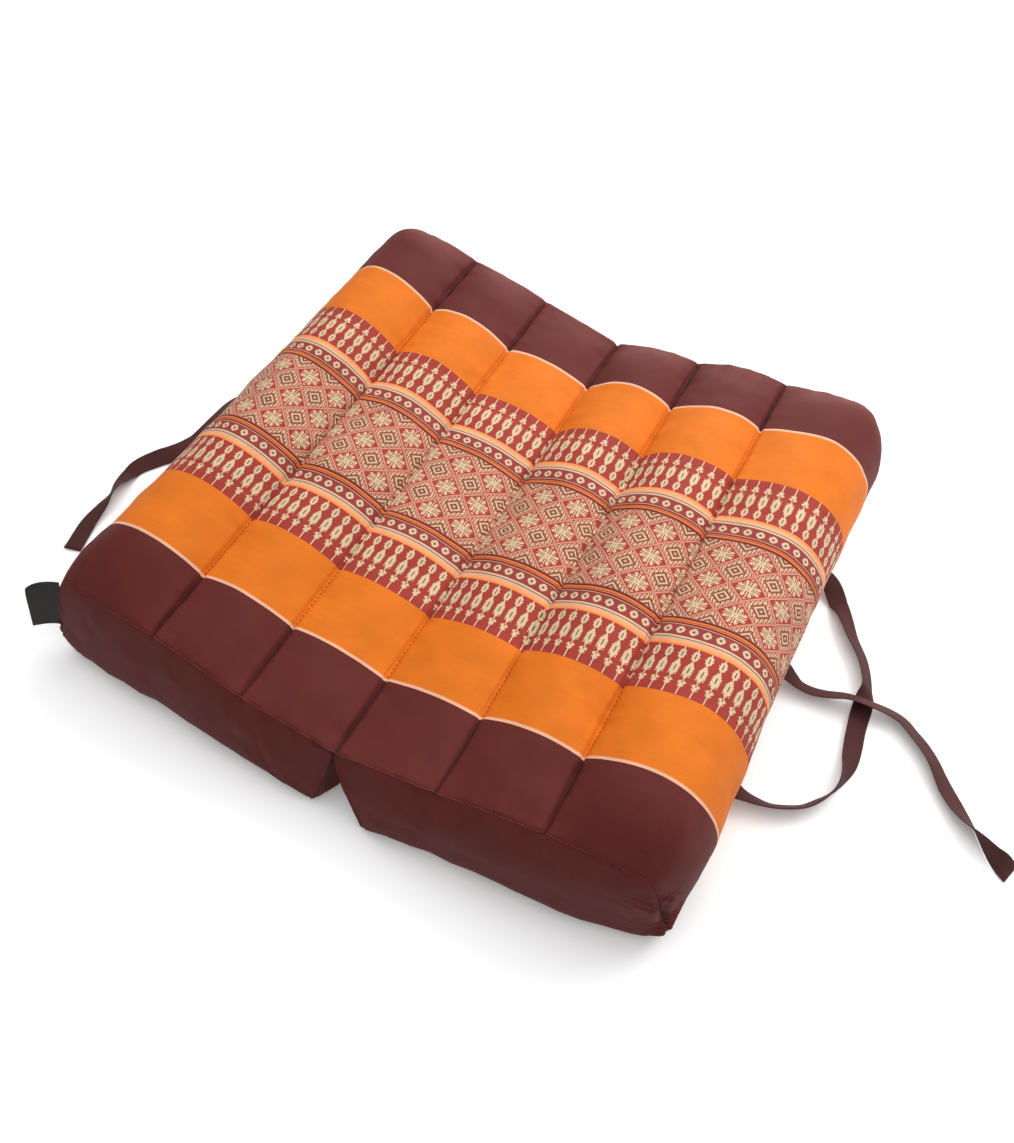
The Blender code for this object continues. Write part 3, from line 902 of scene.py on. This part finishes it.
def make_cushion(materials):
    runs = {half.side: outline(half, 0.0, 0.0, BASE_LIFT) for half in HALVES}
    seam_points = {side: [point for run in runs[side] for point in run] for side in runs}
    counts = [len(run) for run in runs[RIGHT.side][:3]]
    around = len(seam_points[RIGHT.side])
    bm = bmesh.new()
    bm.loops.layers.uv.new("cloth")
    bm.verts.layers.float.new(GAP_LAYER)
    loops, spots, places = add_sections(bm, seam_points, counts)
    for index in range(len(loops) - 1):
        add_strip(bm, loops[index], loops[index + 1], counts, places[index:index + 2])
    for loop, outward in ((loops[0], -1), (loops[-1], 1)):
        add_end_panel(bm, spots, RIGHT, loop[:around], counts, outward)
        add_end_panel(bm, spots, LEFT, left_part(loop, around), counts, outward)
    swell_cloth(bm, spots)
    columns = range(-2 * TUBE_STEPS, 2 * TUBE_STEPS + 1, TUBE_STEPS)
    sewn_loops = loops[BARE_SECTIONS:-BARE_SECTIONS]
    lines = [[loop[column].co.copy() for loop in sewn_loops] for column in columns]
    top = range(-counts[0], counts[0] + 1)
    edges = [[loop[column].co.copy() for column in top] for loop in (loops[0], loops[-1])]
    cushion = finish_object("cushion", bm, materials)
    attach(cushion, "root")
    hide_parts("block_left", "block_right")
    return lines, edges


def along_path(path, pitch):
    """Points along a path at an even pitch, each with the direction there."""
    found = []
    wanted = pitch
    run = 0.0
    for near, far in zip(path, path[1:]):
        step = (far - near).length
        while wanted <= run + step:
            found.append((near.lerp(far, (wanted - run) / step), (far - near).normalized()))
            wanted += pitch
        run += step
    return found


def stitch_rings(bm, centre, heading, stitch):
    """Three rings of points round one thread, which is thinner where it enters the cloth."""
    side = heading.cross(Vector((0, 0, 1))).normalized()
    up = side.cross(heading)
    turns = [2 * math.pi * step / STITCH_SIDES for step in range(STITCH_SIDES)]
    rings = []
    for share, size in ((-0.5, STITCH_TAPER), (0.0, 1.0), (0.5, STITCH_TAPER)):
        middle = centre + heading * (share * stitch.length) + up * stitch.rise
        radius = stitch.radius * size
        rings.append([bm.verts.new(middle + (side * math.cos(turn) + up * math.sin(turn)) * radius)
                      for turn in turns])
    return rings


def close_tube(bm, rings):
    """Faces round a row of rings, with a face over each end; returns the faces round it."""
    faces = []
    for first, second in zip(rings, rings[1:]):
        for index in range(len(first)):
            after = (index + 1) % len(first)
            faces.append(bm.faces.new([first[index], first[after], second[after], second[index]]))
    bm.faces.new(rings[0][::-1])
    bm.faces.new(rings[-1])
    return faces


def make_stitching(name, paths, stitch, material):
    """Lockstitches: one short thread after another along each path."""
    bm = bmesh.new()
    for path in paths:
        for centre, heading in along_path(path, stitch.pitch):
            close_tube(bm, stitch_rings(bm, centre, heading, stitch))
    bmesh.ops.recalc_face_normals(bm, faces=bm.faces)
    stitching = finish_object(name, bm, [material])
    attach(stitching, "root")


def finish_object(name, bm, materials):
    for face in bm.faces:
        face.smooth = True
    mesh = bpy.data.meshes.new(name)
    bm.to_mesh(mesh)
    bm.free()
    for material in materials:
        mesh.materials.append(material)
    piece = bpy.data.objects.new(name, mesh)
    piece.location = FOLD_PLACE
    bpy.context.scene.collection.objects.link(piece)
    return piece


def catmull_rom(before, start, end, after, t):
    return 0.5 * (
        start * 2
        + (end - before) * t
        + (before * 2 - start * 5 + end * 4 - after) * t ** 2
        + (start * 3 - before - end * 3 + after) * t ** 3
    )


def smooth_route(points):
    """Catmull-Rom curve through a tape's points; the fourth coordinate is its roll."""
    rows = [Vector((across * MM, along * MM, lift * MM, math.radians(roll)))
            for across, along, lift, roll in points]
    rows = [rows[0] * 2 - rows[1]] + rows + [rows[-1] * 2 - rows[-2]]
    route = []
    for index in range(1, len(rows) - 2):
        for step in range(TAPE_STEPS_PER_POINT):
            route.append(catmull_rom(*rows[index - 1:index + 3], step / TAPE_STEPS_PER_POINT))
    route.append(rows[-2])
    return route


def tape_frame(row, behind, ahead):
    """Centre of the tape where it rests, its direction across and its direction through."""
    up = Vector((0, 0, 1))
    heading = Vector((ahead.x - behind.x, ahead.y - behind.y, 0)).normalized()
    width = heading.cross(up) * math.cos(row.w) + up * math.sin(row.w)
    half_rise = abs(width.z) * TAPE_WIDTH / 2
    resting = half_rise + abs(math.cos(row.w)) * TAPE_THICKNESS / 2 + TAPE_REST
    return Vector((row.x, row.y, row.z + resting)), width, heading.cross(width)


def tape_ring(centre, width, through):
    """Points round the tape's flat section, with a sewn groove along each edge."""
    points = []
    for face in (1, -1):
        for step in range(TAPE_COLUMNS + 1):
            place = face * (2 * step / TAPE_COLUMNS - 1)
            rounding = math.sqrt(max(0.0, 1 - abs(place) ** TAPE_EDGE_POWER))
            groove = TAPE_HEM_DEPTH * closeness(abs(place) - TAPE_HEM, TAPE_HEM_WIDTH)
            depth = 0.5 * TAPE_THICKNESS * lerp(TAPE_EDGE, 1, rounding) * (1 - groove)
            points.append(centre + width * (place * TAPE_WIDTH / 2) + through * (face * depth))
    return points


def lay_tape_cloth(bm, faces, frames, around):
    """Cloth coordinates of a tape: across it on both faces, and along its run."""
    uv_layer = bm.loops.layers.uv.new("cloth")
    run = 0.0
    for number in range(len(frames) - 1):
        end = run + (frames[number + 1][0] - frames[number][0]).length
        for index, face in enumerate(faces[number * around:(number + 1) * around]):
            near, far = [abs(2 * i / around - 1) * TAPE_WIDTH for i in (index, index + 1)]
            for corner, place in zip(face.loops, ((near, run), (far, run), (far, end), (near, end))):
                corner[uv_layer].uv = place
        run = end


def make_tape(name, points, material):
    route = smooth_route(points)
    beside = [route[0], *route, route[-1]]
    frames = [tape_frame(*rows) for rows in zip(route, beside, beside[2:])]
    bm = bmesh.new()
    rings = [[bm.verts.new(point) for point in tape_ring(*frame)] for frame in frames]
    faces = close_tube(bm, rings)
    lay_tape_cloth(bm, faces, frames, len(rings[0]))
    bmesh.ops.recalc_face_normals(bm, faces=bm.faces)
    tape = finish_object(name, bm, [material])
    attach(tape, "root")
    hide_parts(name.removesuffix("_tape"))


def label_point(out, up, offset):
    sewn = LABEL_SEWN_FOOT.lerp(LABEL_SEWN_TOP, up)
    free = LABEL_FREE_FOOT.lerp(LABEL_FREE_TOP, up)
    through = (free - sewn).cross(LABEL_SEWN_TOP - LABEL_SEWN_FOOT).normalized()
    curl = Vector((0, LABEL_CURL * math.sin(math.pi * min(1.0, out)), 0))
    rounding = LABEL_ROUNDING * max(0.0, out) ** LABEL_ROUNDING_OUT
    rounding *= max(0.0, 2 * up - 1) ** LABEL_ROUNDING_UP
    return sewn.lerp(free, out) + curl + through * offset - Vector((0, 0, rounding))


def label_profile():
    """Path of the folded satin: out along one face, round the fold and back along the other."""
    outs = [step / LABEL_COLUMNS for step in range(LABEL_COLUMNS)]
    turn = [math.pi * step / LABEL_TURN_STEPS for step in range(LABEL_TURN_STEPS + 1)]
    front = [(out * LABEL_FOLD_START, LABEL_LAYER_GAP) for out in outs]
    fold = [(LABEL_FOLD_START + (1 - LABEL_FOLD_START) * math.sin(angle),
             LABEL_LAYER_GAP * math.cos(angle)) for angle in turn]
    back = [(out * LABEL_FOLD_START, -LABEL_LAYER_GAP) for out in outs[::-1]]
    return front + fold + back


def make_label(material):
    profile = label_profile()
    bm = bmesh.new()
    uv_layer = bm.loops.layers.uv.new("cloth")
    across, along = LABEL_FLAT[0] / len(profile), LABEL_FLAT[1] / LABEL_ROWS
    ups = [row / LABEL_ROWS for row in range(LABEL_ROWS + 1)]
    columns = [[bm.verts.new(label_point(out, up, offset)) for up in ups]
               for out, offset in profile]
    for number, (first, second) in enumerate(zip(columns, columns[1:])):
        for row in range(LABEL_ROWS):
            face = bm.faces.new([first[row], first[row + 1], second[row + 1], second[row]])
            places = ((number, row), (number, row + 1), (number + 1, row + 1), (number + 1, row))
            for corner, (column, up) in zip(face.loops, places):
                corner[uv_layer].uv = (column * across, up * along)
    label = finish_object("label_satin", bm, [material])
    solidify = label.modifiers.new("thickness", "SOLIDIFY")
    solidify.thickness = LABEL_LAYER_THICKNESS
    solidify.offset = 0.0
    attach(label, "root")
    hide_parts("label")


def make_camera():
    data = bpy.data.cameras.new("camera")
    data.lens = CAMERA_LENS
    data.sensor_width = SENSOR_WIDTH
    camera = bpy.data.objects.new("camera", data)
    level = math.cos(CAMERA_RISE)
    back = Vector((math.sin(CAMERA_TURN) * level, -math.cos(CAMERA_TURN) * level,
                   math.sin(CAMERA_RISE)))
    camera.location = CAMERA_PLACE
    camera.rotation_mode = "QUATERNION"
    camera.rotation_quaternion = (-back).to_track_quat("-Z", "Y")
    bpy.context.scene.collection.objects.link(camera)
    bpy.context.scene.camera = camera


def linked(tree, value, socket):
    """Put a value on a socket, or link another node's output to it."""
    if isinstance(value, bpy.types.NodeSocket):
        tree.links.new(value, socket)
    else:
        socket.default_value = value


def fill(node, values):
    """Give a node's inputs their fixed values, by name."""
    for name, value in values.items():
        node.inputs[name].default_value = value


def maths(tree, operation, first, second=0.0):
    node = tree.nodes.new("ShaderNodeMath")
    node.operation = operation
    linked(tree, first, node.inputs[0])
    linked(tree, second, node.inputs[1])
    return node.outputs[0]


def mixed(tree, factor, first, second, blend="MIX"):
    node = tree.nodes.new("ShaderNodeMix")
    node.data_type = "RGBA"
    node.blend_type = blend
    for socket, value in zip(MIX_INPUTS, (factor, first, second)):
        linked(tree, value, node.inputs[socket])
    return node.outputs[MIX_RESULT]


def noisy(tree, vector, scale, detail):
    node = tree.nodes.new("ShaderNodeTexNoise")
    fill(node, {"Scale": scale, "Detail": detail})
    linked(tree, vector, node.inputs["Vector"])
    return node.outputs["Fac"]


def combined(tree, x, y, z=0.0):
    node = tree.nodes.new("ShaderNodeCombineXYZ")
    for socket, value in zip(node.inputs, (x, y, z)):
        linked(tree, value, socket)
    return node.outputs[0]


def stepped_ramp(tree, place, starts):
    """Flat colours along a place from 0 to 1; starts holds (start, colour name) in order."""
    node = tree.nodes.new("ShaderNodeValToRGB")
    ramp = node.color_ramp
    ramp.interpolation = "CONSTANT"
    ramp.elements.remove(ramp.elements[1])
    ramp.elements[0].color = (*COLOURS[starts[0][1]], 1.0)
    for start, colour in starts[1:]:
        ramp.elements.new(start).color = (*COLOURS[colour], 1.0)
    linked(tree, place, node.inputs[0])
    return node.outputs[0]


def charted(tree, index, letters):
    """Colour of a row of charted cells at a whole-numbered index along it."""
    changes = [i for i in range(len(letters)) if i == 0 or letters[i] != letters[i - 1]]
    starts = [(i / len(letters), THREADS[letters[i]]) for i in changes]
    place = maths(tree, "DIVIDE", maths(tree, "ADD", index, 0.5), len(letters))
    return stepped_ramp(tree, place, starts)


def picked(tree, index, colours):
    """The colour whose number in the list is the index; the last one serves beyond it."""
    found = colours[0]
    for number, colour in enumerate(colours[1:], 1):
        beyond = maths(tree, "GREATER_THAN", index, number - 0.5)
        found = mixed(tree, beyond, found, colour)
    return found


def folded(tree, index, period):
    """Distance in cells from the nearest repeat's centre."""
    inside = maths(tree, "FLOORED_MODULO", index, float(period))
    return maths(tree, "MINIMUM", inside, maths(tree, "SUBTRACT", float(period), inside))


def lattice_letter(column, row):
    """Thread of one cell in a quarter of the lattice, from a flower to the next diamond."""
    if row < len(FLOWER) and column < len(FLOWER[row]):
        return FLOWER[row][column]
    reach = column + row
    if reach < OUTLINE_START:
        return "."
    if reach < OUTLINE_END:
        return "p"
    depth = 2 * HALF_REPEAT - reach
    if depth < len(RINGS):
        return RINGS[depth]
    tooth = TEETH[(HALF_REPEAT - column) % len(TEETH)]
    return tooth[min(depth - len(RINGS), len(tooth) - 1)]


def between(tree, value, low, high):
    above = maths(tree, "GREATER_THAN", value, low)
    return maths(tree, "MULTIPLY", above, maths(tree, "LESS_THAN", value, high))


def cell_number(tree, place, size):
    return maths(tree, "ROUND", maths(tree, "DIVIDE", place, size))


def field_colour(tree, across, reach):
    """The lattice of the middle field, from its quarter chart."""
    column = folded(tree, cell_number(tree, across, FIELD_CELL_ACROSS), 2 * HALF_REPEAT)
    row = folded(tree, cell_number(tree, reach, FIELD_CELL_ALONG), 2 * HALF_REPEAT)
    cells = range(HALF_REPEAT + 1)
    chart = ["".join(lattice_letter(c, r) for c in cells) for r in cells]
    return picked(tree, row, [charted(tree, column, letters) for letters in chart])


def woven_colour(tree, across, along):
    """Colour of the striped and figured cloth at a place on it, in metres."""
    reach = maths(tree, "ABSOLUTE", along)
    starts = [0.0] + [stripe.reach / STRIPE_SPAN for stripe in STRIPES[:-1]]
    bands = list(zip(starts, [stripe.colour for stripe in STRIPES]))
    stripes = stepped_ramp(tree, maths(tree, "DIVIDE", reach, STRIPE_SPAN), bands)

    column = folded(tree, cell_number(tree, across, CELL), FIGURE_PERIOD)
    row = cell_number(tree, reach, CELL)
    figure_row = maths(tree, "SUBTRACT", row, float(FIGURE_FIRST_ROW))
    figure = [charted(tree, figure_row, "".join(line)) for line in zip(*FIGURE)]
    diamond_row = maths(tree, "ABSOLUTE", maths(tree, "SUBTRACT", row, float(DIAMOND_ROW)))
    diamond = [charted(tree, column, line) for line in DIAMOND]

    in_field = maths(tree, "LESS_THAN", reach, FIELD_REACH)
    in_border = between(tree, reach, BORDER_INNER, BORDER_OUTER)
    in_strip = between(tree, reach, DIAMOND_INNER, DIAMOND_OUTER)
    colour = mixed(tree, in_field, stripes, field_colour(tree, across, reach))
    colour = mixed(tree, in_border, colour, picked(tree, column, figure))
    return mixed(tree, in_strip, colour, picked(tree, diamond_row, diamond))


def new_cloth(name, roughness):
    material = bpy.data.materials.new(name)
    material.use_nodes = True
    shader = material.node_tree.nodes["Principled BSDF"]
    fill(shader, {"Roughness": roughness, "Specular IOR Level": CLOTH_SHINE})
    return material, material.node_tree, shader


def cloth_place(tree):
    """Across and along the cloth, in metres, from its own coordinates."""
    source = tree.nodes.new("ShaderNodeUVMap")
    source.uv_map = "cloth"
    split = tree.nodes.new("ShaderNodeSeparateXYZ")
    tree.links.new(source.outputs[0], split.inputs[0])
    return split.outputs[0], split.outputs[1]


def yarn_height(tree, across, along, pitch):
    """Plain weave: two crossed rows of round yarns."""
    turn = 2 * math.pi / pitch
    first = maths(tree, "SINE", maths(tree, "MULTIPLY", across, turn))
    second = maths(tree, "SINE", maths(tree, "MULTIPLY", along, turn))
    return maths(tree, "MULTIPLY", first, second)


def bumped(tree, shader, height, distance):
    node = tree.nodes.new("ShaderNodeBump")
    fill(node, {"Distance": distance})
    linked(tree, height, node.inputs["Height"])
    tree.links.new(node.outputs[0], shader.inputs["Normal"])


def toned(tree, colour, tone):
    return mixed(tree, 1.0, colour, combined(tree, tone, tone, tone), "MULTIPLY")


def worn(tree, colour, across, along, amount):
    """Uneven dye and yarn: streaks along the weft, and faded patches."""
    streak_place = combined(tree, maths(tree, "MULTIPLY", across, STREAKS_ACROSS),
                            maths(tree, "MULTIPLY", along, STREAKS_ALONG))
    streaks = noisy(tree, streak_place, 1.0, STREAK_DETAIL)
    patches = noisy(tree, combined(tree, across, along), PATCHES, FINE_DETAIL)
    tone = maths(tree, "ADD", maths(tree, "MULTIPLY", streaks, STREAK_SHARE), patches)
    tone = maths(tree, "MULTIPLY", tone, amount)
    return toned(tree, colour, maths(tree, "ADD", tone, 1.0 - MIDDLE_TONE * amount))


def painted_line_shade(tree, colour):
    """Cloth colour with painted shade where a line of stitches or a gathered seam pulls it in deep.
    """
    source = tree.nodes.new("ShaderNodeAttribute")
    source.attribute_name = GAP_LAYER
    tone = maths(tree, "DIVIDE", source.outputs["Fac"], LINE_SHADE_REACH)
    return toned(tree, colour, maths(tree, "MINIMUM", maths(tree, "ADD", tone, LINE_SHADE), 1.0))


def woven_cloth():
    material, tree, shader = new_cloth("woven_cover", CLOTH_ROUGHNESS)
    across, along = cloth_place(tree)
    colour = worn(tree, woven_colour(tree, across, along), across, along, COVER_WEAR)
    maroon = maths(tree, "GREATER_THAN", maths(tree, "ABSOLUTE", along), STRIPES[-2].reach)
    # Painted shade along the stitch lines, on the maroon ends of the cover only
    colour = mixed(tree, maroon, colour, painted_line_shade(tree, colour))
    tree.links.new(colour, shader.inputs["Base Color"])
    bumped(tree, shader, yarn_height(tree, across, along, CELL), COVER_BUMP)
    return material


def plain_cloth(name, colour, pitch, shaded=False):
    material, tree, shader = new_cloth(name, CLOTH_ROUGHNESS)
    across, along = cloth_place(tree)
    shade = worn(tree, (*colour, 1.0), across, along, PLAIN_WEAR)
    # Painted shade by the gathered corner seams and where the stitch lines meet the panel
    if shaded:
        shade = painted_line_shade(tree, shade)
    tree.links.new(shade, shader.inputs["Base Color"])
    bumped(tree, shader, yarn_height(tree, across, along, pitch), PLAIN_BUMP)
    return material


def fibrous(name, colour, size, amount, glow=0.0):
    """One dye that varies a little from fibre to fibre."""
    material, tree, shader = new_cloth(name, FIBRE_ROUGHNESS)
    place = tree.nodes.new("ShaderNodeTexCoord").outputs["Object"]
    tone = maths(tree, "MULTIPLY", noisy(tree, place, 1 / size, FINE_DETAIL), amount)
    tone = maths(tree, "ADD", tone, 1 - amount / 2)
    tree.links.new(toned(tree, (*colour, 1.0), tone), shader.inputs["Base Color"])
    fill(shader, {"Emission Color": WHITE, "Emission Strength": glow})
    return material


def make_floor():
    bm = bmesh.new()
    corners = [(-1, -1), (1, -1), (1, 1), (-1, 1)]
    bm.faces.new([bm.verts.new((x * FLOOR_REACH, y * FLOOR_REACH, 0.0)) for x, y in corners])
    paper = fibrous("floor_paper", FLOOR_WHITE, FLOOR_GRAIN, PAPER_VARIATION, FLOOR_GLOW)
    finish_object("floor", bm, [paper])


def make_backdrop():
    """Pale surroundings, far off, that add no light and cast no shadow."""
    bm = bmesh.new()
    bmesh.ops.create_uvsphere(bm, u_segments=2 * BACKDROP_RINGS, v_segments=BACKDROP_RINGS,
                              radius=FLOOR_REACH)
    paper = fibrous("backdrop_paper", BACKDROP_SHADE, BACKDROP_GRAIN, PAPER_VARIATION, BACKDROP_GLOW)
    backdrop = finish_object("backdrop", bm, [paper])
    for ray in ("diffuse", "glossy", "transmission", "shadow"):
        setattr(backdrop, "visible_" + ray, False)


def make_lights():
    world = bpy.data.worlds.new("studio")
    world.use_nodes = True
    fill(world.node_tree.nodes["Background"], {"Color": WHITE, "Strength": WORLD_STRENGTH})
    bpy.context.scene.world = world
    for lamp in LAMPS:
        data = bpy.data.lights.new(lamp.name, lamp.kind)
        data.energy = lamp.strength
        if lamp.kind == "SUN":
            data.angle = lamp.spread
        else:
            data.size = lamp.spread
        light = bpy.data.objects.new(lamp.name, data)
        light.location = (lamp.x, lamp.y, lamp.z)
        light.rotation_mode = "QUATERNION"
        light.rotation_quaternion = (-light.location).to_track_quat("-Z", "Y")
        bpy.context.scene.collection.objects.link(light)


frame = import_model()
make_camera()
tape_cloth = plain_cloth("tape_cloth", TAPE_COLOUR, TAPE_WEAVE)
make_tape("handle_tape", HANDLE, tape_cloth)
make_tape("tie_right_tape", TIE_RIGHT, tape_cloth)
make_tape("tie_left_tape", TIE_LEFT, tape_cloth)
panel_cloth = plain_cloth("panel_cloth", COLOURS["maroon"], PANEL_WEAVE, shaded=True)
line_thread = fibrous("line_thread", THREAD_COLOUR, THREAD_FIBRE, THREAD_VARIATION)
seam_thread = fibrous("seam_thread", SEAM_THREAD, THREAD_FIBRE, THREAD_VARIATION)
lines, edges = make_cushion([woven_cloth(), panel_cloth])
make_stitching("line_stitching", lines, LINE_STITCH, line_thread)
make_stitching("seam_stitching", edges, SEAM_STITCH, seam_thread)
make_label(plain_cloth("label_cloth", LABEL_COLOUR, LABEL_WEAVE))
make_floor()
make_backdrop()
make_lights()
bpy.context.scene.view_settings.view_transform = "Standard"
